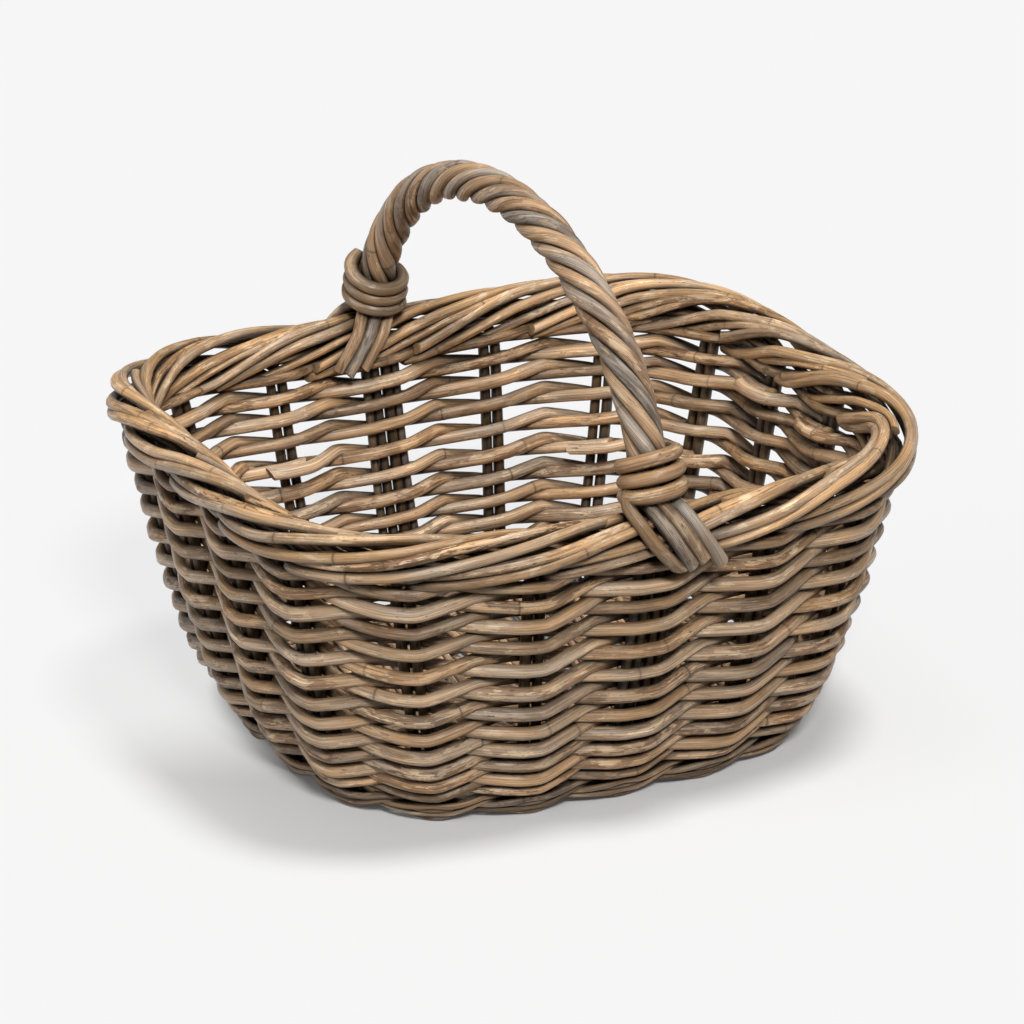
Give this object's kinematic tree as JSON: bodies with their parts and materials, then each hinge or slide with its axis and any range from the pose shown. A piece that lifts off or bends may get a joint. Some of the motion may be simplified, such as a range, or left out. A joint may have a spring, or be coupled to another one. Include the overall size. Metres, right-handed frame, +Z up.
{
  "type": "rattan shopping basket",
  "caption": "Open flared basket woven of round cane on paired uprights, with a thick rolled border and one fixed roped hoop handle bound on across the width.",
  "frame": {"origin": "on the floor under the middle of the basket", "axes": "+Z up, +X along the length of the rim, +Y from the front (nearest the camera) to the back; the hoop handle stands in the plane X = 0"},
  "size_m": [0.4604, 0.4304, 0.3524],
  "materials": {
    "stake_cane": "weathered brown-grey rattan cane, satin, with dark node rings",
    "weaver_cane": "tan to grey rattan cane, satin, with dark flecks of bark",
    "foot_cane": "thin darker rattan cane, matt and worn",
    "base_cane": "plain rattan cane, matt",
    "handle_cane": "silvery tan rattan rods, satin, with fine lengthwise grain",
    "binding_cane": "glossy tan cane"
  },
  "bodies": {
    "root": {"base_hoop": "base_cane", "base_stick_1": "base_cane", "base_stick_2": "base_cane", "base_stick_3": "base_cane", "base_stick_4": "base_cane", "base_weaver": "base_cane", "binding_back": "binding_cane", "binding_front": "binding_cane", "foot_band_a": "foot_cane", "foot_band_b": "foot_cane", "handle_core": "handle_cane", "handle_rod_1": "handle_cane", "handle_rod_2": "handle_cane", "handle_rod_3": "handle_cane", "handle_rod_4": "handle_cane", "handle_rod_5": "handle_cane", "handle_rod_6": "handle_cane", "stake_pair_01": "stake_cane", "stake_pair_02": "stake_cane", "stake_pair_03": "stake_cane", "stake_pair_04": "stake_cane", "stake_pair_05": "stake_cane", "stake_pair_06": "stake_cane", "stake_pair_07": "stake_cane", "stake_pair_08": "stake_cane", "stake_pair_09": "stake_cane", "stake_pair_10": "stake_cane", "stake_pair_11": "stake_cane", "stake_pair_12": "stake_cane", "stake_pair_13": "stake_cane", "stake_pair_14": "stake_cane", "stake_pair_15": "stake_cane", "stake_pair_16": "stake_cane", "stake_pair_17": "stake_cane", "stake_pair_18": "stake_cane", "weaver_01_a": "weaver_cane", "weaver_01_b": "weaver_cane", "weaver_02_a": "weaver_cane", "weaver_02_b": "weaver_cane", "weaver_03_a": "weaver_cane", "weaver_03_b": "weaver_cane", "weaver_04_a": "weaver_cane", "weaver_04_b": "weaver_cane", "weaver_05_a": "weaver_cane", "weaver_05_b": "weaver_cane", "weaver_06_a": "weaver_cane", "weaver_06_b": "weaver_cane", "weaver_07_a": "weaver_cane", "weaver_07_b": "weaver_cane", "weaver_08_a": "weaver_cane", "weaver_08_b": "weaver_cane", "weaver_09_a": "weaver_cane", "weaver_09_b": "weaver_cane", "weaver_10_a": "weaver_cane", "weaver_10_b": "weaver_cane"}
  },
  "joints": []
}
